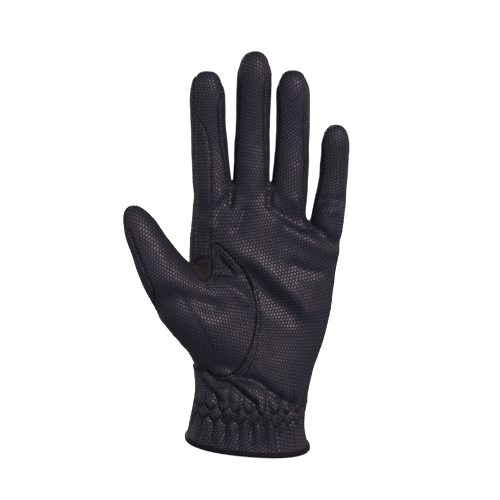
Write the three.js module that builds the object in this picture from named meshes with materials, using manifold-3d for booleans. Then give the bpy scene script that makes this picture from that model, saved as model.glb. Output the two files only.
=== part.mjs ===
// A left riding glove of embossed synthetic leather, standing filled out with its fingers up.
// Millimetres. +Z runs along the fingers, -Y is the palm side and -X the thumb side.
// The origin is the centre of the cuff's mouth, where the wrist goes in.
import * as THREE from "three";
import { mergeVertices } from "three/addons/utils/BufferGeometryUtils.js";
import Module from "manifold-3d";

const wasm = await Module();
wasm.setup();

// Driving sizes
const palmHeight = 152; // hem to the crotches of the long fingers
const palmWidth = 88; // across the roots of the fingers
const palmDepth = 30; // palm to back of the hand
const wristWidth = 65;
const wristDepth = 45;
const thumbWidth = 20;
const thumbDepth = 19;
const thumbReach = 66; // wrist's centre line to the thumb's tip, sideways
const thumbRise = 139; // hem to the thumb's tip
const wall = 1.2; // thickness of the leather
const seamGap = 0.3; // clearance between two sewn pieces
const gatherPitch = 7.4; // along the elastic round the wrist
const gatherDepth = 1.5;
const elasticHeight = 21; // hem to the middle of the elastic
const bindingHeight = 2.9;
const bindingThickness = 0.9;
const curl = 8; // how far the long fingers lean towards the palm
const foldDepth = 1; // multiplies every fold's depth

// The fingers: root and tip are places across the palm, in shares of its width from the wrist's
// centre line; crotch is a share of the palm's height; lengths and widths are in millimetres.
const fingers = [
  { name: "index", root: -0.226, tip: -0.262, crotch: 0.98, length: 69, width: 20.8, rootWidth: 23, depth: 16.8 },
  { name: "middle", root: 0.028, tip: 0.052, crotch: 0.99, length: 78.5, width: 20.4, rootWidth: 22, depth: 17.2 },
  { name: "ring", root: 0.277, tip: 0.303, crotch: 0.98, length: 69.5, width: 19.8, rootWidth: 21.6, depth: 16.6 },
  { name: "little", root: 0.505, tip: 0.58, crotch: 0.835, length: 60, width: 16.4, rootWidth: 20.4, depth: 14.6 },
];

// The hand's body: height is a share of the palm's height. left, right and depth are half sizes,
// in shares of half the palm's or the wrist's size, mixed by the share called palm.
const bodyRows = [
  { height: 0.0, palm: 0, left: 1.11, right: 1.12, depth: 1.09 },
  { height: 0.03, palm: 0, left: 1.07, right: 1.08, depth: 1.06 },
  { height: 0.07, palm: 0, left: 1.03, right: 1.04, depth: 1.03 },
  { height: 0.1, palm: 0, left: 0.995, right: 1.03, depth: 1.0 },
  { height: 0.14, palm: 0, left: 0.97, right: 1.045, depth: 0.99 },
  { height: 0.18, palm: 0, left: 0.945, right: 1.08, depth: 0.99 },
  { height: 0.22, palm: 0.05, left: 0.925, right: 1.105, depth: 1.0 },
  { height: 0.26, palm: 0.17, left: 0.905, right: 1.1, depth: 1.0 },
  { height: 0.305, palm: 0.32, left: 0.88, right: 1.1, depth: 1.01 },
  { height: 0.355, palm: 0.53, left: 0.85, right: 1.1, depth: 1.03 },
  { height: 0.415, palm: 0.75, left: 0.81, right: 1.105, depth: 1.05 },
  { height: 0.475, palm: 0.92, left: 0.787, right: 1.112, depth: 1.09 },
  { height: 0.53, palm: 1, left: 0.775, right: 1.13, depth: 1.13 },
  { height: 0.575, palm: 1, left: 0.775, right: 1.143, depth: 1.105 },
  { height: 0.615, palm: 1, left: 0.775, right: 1.158, depth: 1.085 },
  { height: 0.655, palm: 1, left: 0.773, right: 1.175, depth: 1.07 },
  { height: 0.7, palm: 1, left: 0.77, right: 1.2, depth: 1.05 },
  { height: 0.745, palm: 1, left: 0.766, right: 1.225, depth: 1.02 },
  { height: 0.79, palm: 1, left: 0.758, right: 1.235, depth: 0.98 },
  { height: 0.82, palm: 1, left: 0.75, right: 1.17, depth: 0.945 },
  { height: 0.855, palm: 1, left: 0.74, right: 0.8, depth: 0.9 },
  { height: 0.92, palm: 1, left: 0.72, right: 0.77, depth: 0.79 },
  { height: 0.965, palm: 1, left: 0.7, right: 0.745, depth: 0.69 },
  { height: 1.005, palm: 1, left: 0.62, right: 0.67, depth: 0.4 },
];

// The thumb and the ball of the thumb, from the tip down: side and height are shares of the
// thumb's reach and rise, width and depth are shares of half the thumb's own, and forward is
// a share of the palm's depth.
const thumbRows = [
  { side: 1.015, height: 1.0, width: 0.76, depth: 0.78, forward: 0.5 },
  { side: 0.985, height: 0.963, width: 0.84, depth: 0.84, forward: 0.5 },
  { side: 0.959, height: 0.934, width: 0.91, depth: 0.91, forward: 0.49 },
  { side: 0.927, height: 0.904, width: 0.99, depth: 0.97, forward: 0.48 },
  { side: 0.892, height: 0.873, width: 1.05, depth: 1.04, forward: 0.47 },
  { side: 0.855, height: 0.842, width: 1.12, depth: 1.1, forward: 0.45 },
  { side: 0.786, height: 0.783, width: 1.3, depth: 1.27, forward: 0.42 },
  { side: 0.703, height: 0.714, width: 1.51, depth: 1.45, forward: 0.38 },
  { side: 0.611, height: 0.662, width: 1.67, depth: 1.59, forward: 0.35 },
  { side: 0.523, height: 0.596, width: 1.79, depth: 1.67, forward: 0.32 },
  { side: 0.418, height: 0.521, width: 1.67, depth: 1.62, forward: 0.3 },
  { side: 0.339, height: 0.442, width: 1.43, depth: 1.44, forward: 0.29 },
  { side: 0.315, height: 0.38, width: 1.16, depth: 1.15, forward: 0.28 },
  { side: 0.29, height: 0.313, width: 0.8, depth: 0.8, forward: 0.27 },
];

// Folds on the palm side: both ends are shares of the palm's width from the centre line and of
// its height from the hem, width is a share of the palm's width, depth is in millimetres and
// is negative where the leather sinks.
const folds = [
  { name: "little finger's root", x1: 0.42, z1: 0.84, x2: 0.56, z2: 0.77, width: 0.06, depth: -1.7 },
  { name: "ridge below it", x1: 0.24, z1: 0.83, x2: 0.58, z2: 0.74, width: 0.07, depth: 1.4 },
  { name: "hollow of the palm", x1: -0.06, z1: 0.71, x2: 0.31, z2: 0.52, width: 0.095, depth: -2.3 },
  { name: "ridge above it", x1: -0.12, z1: 0.77, x2: 0.39, z2: 0.52, width: 0.085, depth: 1.3 },
  { name: "heart line", x1: 0.3, z1: 0.69, x2: 0.49, z2: 0.655, width: 0.07, depth: -1.3 },
  { name: "between index and middle", x1: -0.02, z1: 0.89, x2: -0.06, z2: 0.82, width: 0.06, depth: -1.6 },
  { name: "web of the thumb", x1: -0.2, z1: 0.7, x2: -0.06, z2: 0.645, width: 0.08, depth: -2.2 },
  { name: "welt below the web", x1: -0.25, z1: 0.64, x2: -0.1, z2: 0.6, width: 0.05, depth: 1.2 },
  { name: "crease of the thumb's base", x1: -0.5, z1: 0.56, x2: -0.21, z2: 0.53, width: 0.06, depth: -1.6 },
  { name: "ball of the thumb", x1: -0.48, z1: 0.51, x2: -0.21, z2: 0.48, width: 0.09, depth: 1.4 },
  { name: "wrist crease A", x1: -0.36, z1: 0.3, x2: -0.27, z2: 0.22, width: 0.05, depth: -2.4 },
  { name: "wrist ridge A", x1: -0.31, z1: 0.27, x2: -0.12, z2: 0.13, width: 0.045, depth: 1.3 },
  { name: "wrist crease B", x1: -0.24, z1: 0.265, x2: 0.05, z2: 0.16, width: 0.045, depth: -2 },
  { name: "wrist ridge B", x1: -0.05, z1: 0.237, x2: 0.1, z2: 0.14, width: 0.045, depth: 1.2 },
  { name: "wrist crease C", x1: -0.06, z1: 0.263, x2: 0.3, z2: 0.16, width: 0.05, depth: -1.8 },
];

// Seams seen from the palm side: x and z are shares of the palm's width and height, as above.
const thumbSeam = [
  { x: -0.217, z: 0.775 },
  { x: -0.158, z: 0.759 },
  { x: -0.086, z: 0.702 },
  { x: -0.013, z: 0.645 },
  { x: 0.04, z: 0.622 },
  { x: 0.066, z: 0.527 },
  { x: 0.046, z: 0.439 },
  { x: 0.0, z: 0.351 },
  { x: -0.066, z: 0.284 },
  { x: -0.165, z: 0.26 },
  { x: -0.31, z: 0.294 },
  { x: -0.46, z: 0.34 },
];
const indexSeam = [
  { x: -0.46, z: 1.26 },
  { x: -0.37, z: 1.255 },
  { x: -0.303, z: 1.232 },
  { x: -0.27, z: 1.198 },
  { x: -0.25, z: 1.149 },
  { x: -0.237, z: 1.095 },
  { x: -0.237, z: 0.943 },
  { x: -0.244, z: 0.828 },
];
const quirkCorners = { top: { x: -0.25, z: 0.762 }, left: { x: -0.372, z: 0.71 }, bottom: { x: -0.29, z: 0.633 } };
const quirkSeamTop = { x: -0.238, z: 0.757 };
const quirkSeamFoot = { x: -0.238, z: 0.655 };
const thumbCrotch = { x: -0.4, z: 0.745 };

// How full the rings of points are
const gathers = Math.round((Math.PI * (wristWidth + wristDepth)) / 2 / gatherPitch);
const bodySides = 2 * gathers; // a ridge and a hollow for each gather
const fingerSides = 10;
const thumbSides = 14;
const squareness = 2.3; // 2 is an ellipse, more is squarer

const palmSide = new THREE.Vector3(0, -1, 0);
const leather = { color: 0x2b2a35, roughness: 0.55, metalness: 0 };
const knit = { color: 0x3a332f, roughness: 0.85, metalness: 0 };
const band = { color: 0x25242d, roughness: 0.6, metalness: 0 };

function mix(a, b, t) {
  return a + (b - a) * t;
}

function smooth(t) {
  const c = Math.min(1, Math.max(0, t));
  return c * c * (3 - 2 * c);
}

// A value from a table: the rows are sorted by their column called key.
function lookUp(rows, key, at, column) {
  const up = rows[0][key] < rows[rows.length - 1][key];
  const sorted = up ? rows : [...rows].reverse();
  const next = sorted.findIndex((row) => row[key] >= at);
  if (next < 0) return sorted[sorted.length - 1][column];
  if (next === 0) return sorted[0][column];
  const [a, b] = [sorted[next - 1], sorted[next]];
  return mix(a[column], b[column], (at - a[key]) / (b[key] - a[key]));
}

// A unit circle's point, squared off.
function squircle(angle) {
  const [c, s] = [Math.cos(angle), Math.sin(angle)];
  const round = (v) => Math.sign(v) * Math.abs(v) ** (2 / squareness);
  return { across: round(c), deep: round(s) };
}

// How far the leather rises at a place on the palm side.
function foldHeight(x, z) {
  const place = new THREE.Vector2(x, z);
  return folds.reduce((sum, fold) => {
    const a = new THREE.Vector2(fold.x1 * palmWidth, fold.z1 * palmHeight);
    const b = new THREE.Vector2(fold.x2 * palmWidth, fold.z2 * palmHeight);
    const along = b.clone().sub(a);
    const t = place.clone().sub(a).dot(along) / along.lengthSq();
    const near = a.clone().addScaledVector(along, Math.min(1, Math.max(0, t)));
    const away = place.distanceTo(near) / (fold.width * palmWidth);
    return sum + fold.depth * foldDepth * Math.exp(-away * away);
  }, 0);
}

// A ring's point moved out by the folds, which fade towards the sides and the back.
function raised(point, outward, extra = 0) {
  const facing = Math.max(0, outward.dot(palmSide));
  const rise = foldHeight(point.x, point.z) * smooth(facing * 1.6) + extra;
  return point.clone().addScaledVector(outward, rise);
}

// A closed skin over rings of points, all with as many points.
function loft(rings) {
  const sides = rings[0].length;
  const position = rings.flat().flatMap((p) => [p.x, p.y, p.z]);
  const index = [];
  for (let k = 0; k < rings.length - 1; k += 1) {
    for (let i = 0; i < sides; i += 1) {
      const [a, b] = [k * sides + i, k * sides + ((i + 1) % sides)];
      index.push(a, b, b + sides, a, b + sides, a + sides);
    }
  }
  [0, rings.length - 1].forEach((k) => {
    const hub = position.length / 3;
    const centre = rings[k].reduce((sum, p) => sum.add(p), new THREE.Vector3()).divideScalar(sides);
    position.push(centre.x, centre.y, centre.z);
    for (let i = 0; i < sides; i += 1) {
      const [a, b] = [k * sides + i, k * sides + ((i + 1) % sides)];
      index.push(...(k === 0 ? [hub, b, a] : [hub, a, b]));
    }
  });
  const geometry = new THREE.BufferGeometry();
  geometry.setAttribute("position", new THREE.Float32BufferAttribute(position, 3));
  geometry.setIndex(index);
  return geometry;
}

function solid(geometry) {
  const bare = geometry.clone();
  bare.deleteAttribute("normal");
  bare.deleteAttribute("uv");
  const merged = mergeVertices(bare, 1e-5);
  return new wasm.Manifold(
    new wasm.Mesh({
      numProp: 3,
      vertProperties: new Float32Array(merged.attributes.position.array),
      triVerts: new Uint32Array(merged.index.array),
    }),
  );
}

function mesh(name, body, look) {
  const data = body.getMesh();
  const geometry = new THREE.BufferGeometry();
  geometry.setAttribute("position", new THREE.BufferAttribute(data.vertProperties, 3));
  geometry.setIndex(new THREE.BufferAttribute(data.triVerts, 1));
  geometry.computeVertexNormals();
  const made = new THREE.Mesh(geometry, new THREE.MeshStandardMaterial(look));
  made.name = name;
  return made;
}

// Half sizes of the body at a height, in millimetres.
function bodySize(height) {
  const share = height / palmHeight;
  const palm = lookUp(bodyRows, "height", share, "palm");
  const halfWidth = mix(wristWidth, palmWidth, palm) / 2;
  const halfDepth = mix(wristDepth, palmDepth, palm) / 2;
  return {
    left: lookUp(bodyRows, "height", share, "left") * halfWidth,
    right: lookUp(bodyRows, "height", share, "right") * halfWidth,
    depth: lookUp(bodyRows, "height", share, "depth") * halfDepth,
  };
}

// The hem's plane leans down to the palm side and to the little finger's side.
const hemLeanX = -0.085;
const hemLeanY = 0.12;

function hemLean(x, y, height) {
  const fade = 1 - smooth(height / (palmHeight * 0.36));
  return (x * hemLeanX + y * hemLeanY) * fade;
}

// The gathers round the elastic, strongest just above and below it. Every other point of a
// ring is a ridge.
function gatherRise(point, height) {
  const spread = elasticHeight * 0.3;
  const above = Math.exp(-(((height - elasticHeight * 1.33) / spread) ** 2));
  const below = Math.exp(-(((height - elasticHeight * 0.6) / spread) ** 2));
  return (point % 2 === 0 ? 0.5 : -0.5) * gatherDepth * (above + below);
}

function bodyRing(height, inset) {
  const size = bodySize(Math.max(0, height));
  const centre = (size.right - size.left) / 2;
  const halfWidth = (size.right + size.left) / 2;
  return Array.from({ length: bodySides }, (_, i) => {
    const { across, deep } = squircle((2 * Math.PI * i) / bodySides);
    const outward = new THREE.Vector3(across / halfWidth, deep / size.depth, 0).normalize();
    const x = centre + across * halfWidth;
    const y = deep * size.depth;
    const place = new THREE.Vector3(x, y, height + hemLean(x, y, height));
    return raised(place, outward, gatherRise(i, height) - inset);
  });
}

// The hollow runs out through the mouth and stops a wall short of the finger roots.
function bodySolid(inset) {
  const rings = bodyRows.map(({ height }) => bodyRing(height * palmHeight, inset));
  if (inset > 0) {
    rings.unshift(rings[0].map((p) => p.clone().setZ(p.z - 4 * bindingHeight)));
    rings[rings.length - 1].forEach((p) => p.setZ(p.z - inset));
  }
  return solid(loft(rings));
}

// How a digit's tip rounds off: distance from the tip and size, in shares of its half width.
const tipRows = [
  { from: 0.03, size: 0.25 },
  { from: 0.2, size: 0.57 },
  { from: 0.6, size: 0.83 },
  { from: 1.1, size: 0.94 },
  { from: 2.0, size: 1.0 },
];

// A digit round a centre line that starts at its tip. widthAt and depthAt give the half sizes
// at a distance from the tip.
function digitSolid({ line, widthAt, depthAt, sides, steps }, inset) {
  const length = line.getLength();
  const half = widthAt(2 * widthAt(0)) - inset;
  const from = tipRows.map((row) => row.from * half);
  const last = from[from.length - 1];
  for (let k = 1; k <= steps; k += 1) from.push(mix(last, length - inset, k / steps));
  const rings = from.map((distance) => {
    const share = Math.min(1, (distance + inset) / length);
    const place = line.getPointAt(share);
    const along = line.getTangentAt(share).negate();
    const side = new THREE.Vector3(0, 1, 0).cross(along).normalize();
    const front = along.clone().cross(side);
    const tip = lookUp(tipRows, "from", distance / half, "size");
    const a = (widthAt(distance + inset) - inset) * tip;
    const b = (depthAt(distance + inset) - inset) * tip;
    return Array.from({ length: sides }, (_, i) => {
      const { across, deep } = squircle((2 * Math.PI * i) / sides);
      const offset = side.clone().multiplyScalar(across * a).addScaledVector(front, deep * b);
      const outward = side.clone().multiplyScalar(across / a).addScaledVector(front, deep / b).normalize();
      const point = place.clone().add(offset);
      const moved = raised(point, outward);
      const fade = smooth((distance - last) / (2 * half));
      return point.lerp(moved, fade);
    });
  });
  return solid(loft(rings.reverse()));
}

// A finger's centre line, from its tip into the palm.
function fingerLine(finger) {
  const crotch = finger.crotch * palmHeight;
  const points = [1, 0.75, 0.5, 0.25, 0, -0.3].map((t) => {
    const lean = 1 - (1 - t) ** 2;
    const x = mix(finger.root, finger.tip, lean) * palmWidth;
    return new THREE.Vector3(x, -curl * Math.max(0, t) ** 2, crotch + finger.length * t);
  });
  return new THREE.CatmullRomCurve3(points);
}

function fingerShape(finger) {
  const line = fingerLine(finger);
  const rootShare = (at) => smooth((at / finger.length - 0.45) / 0.6) - smooth((at / finger.length - 1.02) / 0.3);
  return {
    line,
    widthAt: (at) => mix(finger.width, finger.rootWidth, rootShare(at)) / 2,
    depthAt: (at) => mix(finger.depth, palmDepth * 0.76, rootShare(at)) / 2,
    sides: fingerSides,
    steps: 4,
  };
}

// The thumb's centre line leans out from the hand and towards the palm.
function thumbShape() {
  const points = thumbRows.map(
    (row) => new THREE.Vector3(-row.side * thumbReach, -row.forward * palmDepth, row.height * thumbRise),
  );
  const rows = thumbRows.map((row, k) => ({
    ...row,
    at: points.slice(1, k + 1).reduce((sum, point, j) => sum + point.distanceTo(points[j]), 0),
  }));
  return {
    line: new THREE.CatmullRomCurve3(points),
    widthAt: (at) => (lookUp(rows, "at", at, "width") * thumbWidth) / 2,
    depthAt: (at) => (lookUp(rows, "at", at, "depth") * thumbDepth) / 2,
    sides: thumbSides,
    steps: 9,
  };
}

// The whole glove, filled, with every surface moved in by inset.
function gloveSolid(inset) {
  const digits = [...fingers.map(fingerShape), thumbShape()];
  return digits.reduce((sum, shape) => sum.add(digitSolid(shape, inset)), bodySolid(inset));
}

// Where the side seam lies, in shares of the half depth: behind the middle on the index side,
// in front of it on the little finger's side, and well forward on the outside of the thumb.
const seamShift = { little: -0.3, index: 0.3, thumbOuter: -0.8, thumbInner: 0.25 };

function fingerMiddle(x, z) {
  const [ring, little] = fingers.slice(2);
  const finger = x > ((ring.tip + little.root) / 2) * palmWidth ? little : fingers[1];
  const t = Math.max(0, (z - finger.crotch * palmHeight) / finger.length);
  return -curl * Math.min(1.2, t) ** 2;
}

function sideSeam(x, z) {
  const [index, middle, , little] = fingers;
  const size = bodySize(Math.min(Math.max(0, z), 0.78 * palmHeight));
  const over = smooth((z / palmHeight - 0.75) / 0.3);
  const depth = mix(size.depth, middle.depth / 2, over);
  const leftEdge = mix(size.left, -index.tip * palmWidth + index.width / 2, over);
  const rightEdge = mix(size.right, little.tip * palmWidth + little.width / 2, over);
  const onIndex = smooth((-x - leftEdge) / (index.width / 2) + 1);
  const onLittle = smooth((x - rightEdge) / (little.width / 2) + 1);
  const hand = fingerMiddle(x, z) + depth * (seamShift.index * onIndex + seamShift.little * onLittle);
  const thumb = thumbMiddle(x, z);
  return mix(hand, thumb.depth, thumb.share);
}

// The thumb's own seam depth at a place, and how far the place belongs to the thumb.
function thumbMiddle(x, z) {
  const rows = thumbRows.map((row) => ({ ...row, z: row.height * thumbRise }));
  const centre = -lookUp(rows, "z", z, "side") * thumbReach;
  const half = (lookUp(rows, "z", z, "width") * thumbWidth) / 2;
  const deep = (lookUp(rows, "z", z, "depth") * thumbDepth) / 2;
  const across = Math.min(1, Math.max(-1, (x - centre) / half));
  const rise = z / thumbRise;
  const outer = seamShift.thumbOuter * smooth((rise - 0.52) / 0.16) * (1 - 0.5 * smooth((rise - 0.88) / 0.1));
  const shift = mix(outer, seamShift.thumbInner, smooth((across + 0.6) / 1.4));
  const share = smooth((rise - 0.42) / 0.12) * (1 - smooth((x + 0.36 * palmWidth) / (0.05 * palmWidth)));
  return { depth: -lookUp(rows, "z", z, "forward") * palmDepth + deep * shift, share };
}

// All that lies on one side of the side seam: way is -1 for the palm side and 1 for the back.
function halfSpace(way) {
  const reach = palmDepth * 3;
  const across = [-1.05, -0.8, -0.7, -0.6, -0.5, -0.4, -0.34, -0.25, 0.46, 0.6, 0.9];
  const columns = across.length - 1;
  const levels = 12;
  const position = [];
  const index = [];
  for (let k = 0; k <= levels; k += 1) {
    const z = mix(-0.14, 1.61, k / levels) * palmHeight;
    across.forEach((share) => {
      const x = share * palmWidth;
      position.push(x, sideSeam(x, z) + (way * seamGap) / 2, z);
    });
  }
  const front = position.length / 3;
  for (let k = 0; k < front; k += 1) position.push(position[3 * k], way * reach, position[3 * k + 2]);
  const quad = (a, b, c, d) => index.push(...(way < 0 ? [a, c, b, a, d, c] : [a, b, c, a, c, d]));
  const row = columns + 1;
  for (let k = 0; k < levels; k += 1) {
    for (let i = 0; i < columns; i += 1) {
      const a = k * row + i;
      quad(a, a + 1, a + 1 + row, a + row);
      quad(front + a, front + a + row, front + a + 1 + row, front + a + 1);
    }
    const [l, r] = [k * row, k * row + columns];
    quad(l, l + row, front + l + row, front + l);
    quad(r, front + r, front + r + row, r + row);
  }
  for (let i = 0; i < columns; i += 1) {
    const top = levels * row + i;
    quad(i, front + i, front + i + 1, i + 1);
    quad(top, top + 1, front + top + 1, front + top);
  }
  const geometry = new THREE.BufferGeometry();
  geometry.setAttribute("position", new THREE.Float32BufferAttribute(position, 3));
  geometry.setIndex(index);
  return solid(geometry);
}

// The strip between two fingers: it runs up the side of one, tapers out near its tip, and comes
// down the side of the other.
function fourchetteSpace(left, right, grow) {
  const pair = [left, right].map((finger) => ({
    finger,
    line: fingerLine(finger),
    tip: finger.crotch * palmHeight + finger.length,
  }));
  const base = Math.min(left.crotch, right.crotch) * palmHeight;
  const top = Math.max(...pair.map(({ tip }) => tip));
  const low = base - 0.07 * palmHeight;
  const levels = 8;
  const clear = 0.4;
  const rings = Array.from({ length: levels + 1 }, (_, n) => {
    const z = mix(low, top, n / levels);
    const ends = pair.map(({ finger, line, tip }) => {
      const middle = line.getPointAt(Math.min(1, Math.max(0, (tip - z) / line.getLength())));
      const taper = smooth(((tip - z) / finger.width - 0.5) / 1.5);
      return { x: middle.x, y: middle.y, half: finger.depth * 0.31 * taper + Math.max(0.05, clear * taper) + grow, taper };
    });
    const gap = (ends[0].x + ends[1].x) / 2;
    const join = smooth((z - base) / (0.08 * palmHeight));
    const shared = { y: (ends[0].y + ends[1].y) / 2, half: (ends[0].half + ends[1].half) / 2 };
    const [l, r] = ends.map((end, k) => ({
      x: mix(gap + (k ? clear : -clear), end.x, smooth(end.taper * 4)),
      y: mix(shared.y, end.y, join),
      half: mix(shared.half, end.half, join),
    }));
    const corners = [
      [l.x, l.y - l.half],
      [gap - 0.9 * clear, l.y - l.half],
      [gap + 0.9 * clear, r.y - r.half],
      [r.x, r.y - r.half],
      [r.x, r.y + r.half],
      [gap + 0.9 * clear, r.y + r.half],
      [gap - 0.9 * clear, l.y + l.half],
      [l.x, l.y + l.half],
    ];
    return corners.map(([x, y]) => new THREE.Vector3(x, y, z));
  });
  return solid(loft(rings));
}

// A flat outline in x and z, swept from far in front of the palm to the depth called back.
function prism(outline, back) {
  const shape = new THREE.Shape(outline.map(([x, z]) => new THREE.Vector2(x, z)));
  const depth = 3 * palmDepth + back;
  const geometry = new THREE.ExtrudeGeometry(shape, { depth, bevelEnabled: false });
  geometry.rotateX(Math.PI / 2);
  geometry.translate(0, back, 0);
  return solid(geometry);
}

// A narrow slot along a seam, cut through the palm side.
function seamSlot(points, back) {
  const half = seamGap / 2;
  const spots = points.map(([x, z]) => new THREE.Vector2(x, z));
  const sides = [[], []];
  spots.forEach((spot, k) => {
    const before = spots[Math.max(0, k - 1)];
    const after = spots[Math.min(spots.length - 1, k + 1)];
    const into = spot.clone().sub(before).normalize();
    const out = after.clone().sub(spot).normalize();
    const along = into.add(out).normalize();
    const turn = Math.max(0.4, Math.abs(along.dot(out.lengthSq() ? out : along)));
    const away = new THREE.Vector2(-along.y, along.x).multiplyScalar(half / turn);
    sides[0].push([spot.x + away.x, spot.y + away.y]);
    sides[1].unshift([spot.x - away.x, spot.y - away.y]);
  });
  return prism([...sides[0], ...sides[1]], back);
}

const spot = ({ x, z }) => [x * palmWidth, z * palmHeight];

function build() {
  const shell = gloveSolid(0).subtract(gloveSolid(wall));
  const between = fingers.slice(1).map((finger, k) => [fingers[k], finger]);
  const strips = between.map(([a, b]) => ({
    name: `fourchette_${a.name}_${b.name}`,
    body: shell.intersect(fourchetteSpace(a, b, -seamGap / 2)),
  }));
  const panels = between.reduce((sum, [a, b]) => sum.subtract(fourchetteSpace(a, b, seamGap / 2)), shell);
  const deep = palmDepth;
  const curve = (points) =>
    new THREE.SplineCurve(points.map((p) => new THREE.Vector2(...spot(p)))).getPoints(Math.round(points.length * 1.5));
  const thumbLine = curve(thumbSeam).map((p) => [p.x, p.y]);
  const indexLine = curve(indexSeam).map((p) => [p.x, p.y]);
  const [t, l, b] = [quirkCorners.top, quirkCorners.left, quirkCorners.bottom].map(spot);
  const [st, sf, crotch] = [quirkSeamTop, quirkSeamFoot, thumbCrotch].map(spot);
  const slots = [
    seamSlot([...indexLine, t, st, ...thumbLine], deep),
    seamSlot([crotch, l, b, sf, st], deep),
    seamSlot([[mix(l[0], t[0], -0.05), mix(l[1], t[1], -0.05)], t], deep),
  ];
  const cut = slots.reduce((sum, slot) => sum.subtract(slot), panels.intersect(halfSpace(-1)));
  const out = -1.2 * palmWidth;
  const cleft = [crotch, spot({ x: -0.44, z: 0.82 }), spot({ x: -0.5, z: 1.3 })];
  const foot = thumbLine[thumbLine.length - 1];
  const onThumb = [...cleft, [out, cleft[2][1]], [out, foot[1]], ...[...thumbLine].reverse(), st, sf, b, l];
  const onIndex = [crotch, l, t, ...[...indexLine].reverse(), ...cleft.slice(1).reverse()];
  const onQuirk = [l, b, sf, st, t];
  const [thumbArea, indexArea, quirkArea] = [onThumb, onIndex, onQuirk].map((outline) => prism(outline, deep));
  return {
    strips,
    back: panels.intersect(halfSpace(1)),
    palm: cut.subtract(thumbArea).subtract(indexArea).subtract(quirkArea),
    thumb: cut.intersect(thumbArea),
    indexSide: cut.intersect(indexArea),
    quirk: cut.intersect(quirkArea),
  };
}

// The hem's binding: a folded band round the lower edge, open upwards, clear of the leather.
function bindingSolid() {
  const clear = seamGap;
  const outer = clear + bindingThickness;
  const section = [
    [outer, bindingHeight],
    [outer, -0.5 * clear],
    [-wall / 2, -outer],
    [-wall - outer, -0.5 * clear],
    [-wall - outer, bindingHeight],
    [-wall - clear, bindingHeight],
    [-wall - clear, -clear],
    [clear, -clear],
    [clear, bindingHeight],
  ];
  const rails = section.map(([out, up]) =>
    bodyRing(Math.max(0, up), -out).map((p) => p.setZ(p.z + Math.min(0, up))),
  );
  const n = section.length;
  const position = rails.flat().flatMap((p) => [p.x, p.y, p.z]);
  const index = [];
  for (let k = 0; k < n; k += 1) {
    for (let i = 0; i < bodySides; i += 1) {
      const next = (i + 1) % bodySides;
      const [a, b, c, d] = [k, (k + 1) % n].flatMap((rail) => [rail * bodySides + i, rail * bodySides + next]);
      index.push(a, c, b, b, c, d);
    }
  }
  const geometry = new THREE.BufferGeometry();
  geometry.setAttribute("position", new THREE.Float32BufferAttribute(position, 3));
  geometry.setIndex(index);
  return solid(geometry);
}

const made = build();
const glove = new THREE.Group();
glove.add(mesh("palm_panel", made.palm, leather));
glove.add(mesh("thumb_panel", made.thumb, leather));
glove.add(mesh("index_side_panel", made.indexSide, leather));
glove.add(mesh("quirk", made.quirk, knit));
glove.add(mesh("back_panel", made.back, leather));
made.strips.forEach(({ name, body }) => glove.add(mesh(name, body, leather)));
glove.add(mesh("hem_binding", bindingSolid(), band));
export default glove;
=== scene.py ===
# %% [markdown]
# A left riding glove of embossed synthetic leather, standing filled out with its fingers up.
# The imported model holds it as plain faceted walls. This lesson builds the same glove again as soft
# leather: one skin first, then folds and gathers, then the cuts along its seams, its panels with
# their pattern, and last the stitches, the binding, the light and the camera.

# %% Load the imported model and keep its solids
import bmesh
import bpy
import numpy as np
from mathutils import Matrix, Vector, noise
from mathutils.bvhtree import BVHTree
from mathutils.kdtree import KDTree


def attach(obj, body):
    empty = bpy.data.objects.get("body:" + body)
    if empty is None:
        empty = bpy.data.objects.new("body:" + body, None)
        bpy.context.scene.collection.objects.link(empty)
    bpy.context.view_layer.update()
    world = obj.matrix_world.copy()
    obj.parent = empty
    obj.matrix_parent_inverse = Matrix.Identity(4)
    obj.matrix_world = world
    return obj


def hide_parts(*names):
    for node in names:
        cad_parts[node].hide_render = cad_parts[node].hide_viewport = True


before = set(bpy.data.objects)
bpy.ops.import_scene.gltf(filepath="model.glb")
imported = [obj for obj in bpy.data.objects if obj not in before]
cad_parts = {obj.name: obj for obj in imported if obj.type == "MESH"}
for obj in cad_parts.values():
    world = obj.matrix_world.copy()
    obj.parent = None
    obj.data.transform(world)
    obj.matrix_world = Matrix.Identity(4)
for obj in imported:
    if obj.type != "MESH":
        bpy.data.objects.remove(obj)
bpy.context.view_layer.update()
stage = bpy.context.scene
MM = 0.001
print("solids:", ", ".join(sorted(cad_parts)))

# %% [markdown]
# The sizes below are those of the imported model, in millimetres. A glove follows a hand, whose
# widths change smoothly, so each table is read through a curve that is blurred a little between
# its rows. A spline could overshoot at the little finger's root, and a blur never does.

# %% Sizes of the glove
PALM_HEIGHT, PALM_WIDTH, PALM_DEPTH = 152.0, 88.0, 30.0
WRIST_WIDTH, WRIST_DEPTH = 65.0, 45.0
THUMB_WIDTH, THUMB_DEPTH, THUMB_REACH, THUMB_RISE = 20.0, 19.0, 66.0, 139.0
CURL = 8.0
HEM_LEAN_X, HEM_LEAN_Y, LEAN_HEIGHT = -0.085, 0.12, 0.36 * PALM_HEIGHT
GATHER_PITCH = 7.4
GATHERS = round(np.pi * (WRIST_WIDTH + WRIST_DEPTH) / 2 / GATHER_PITCH)
SQUARENESS = 2.3
WALL = 1.0
VOXEL = 0.88
THIN = 0.8
RING_STEP = 1.5
TIP_STOPS = np.array([0.012, 0.05, 0.12, 0.22, 0.36, 0.53, 0.75, 1.0, 1.3, 1.6, 2.0])

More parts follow.
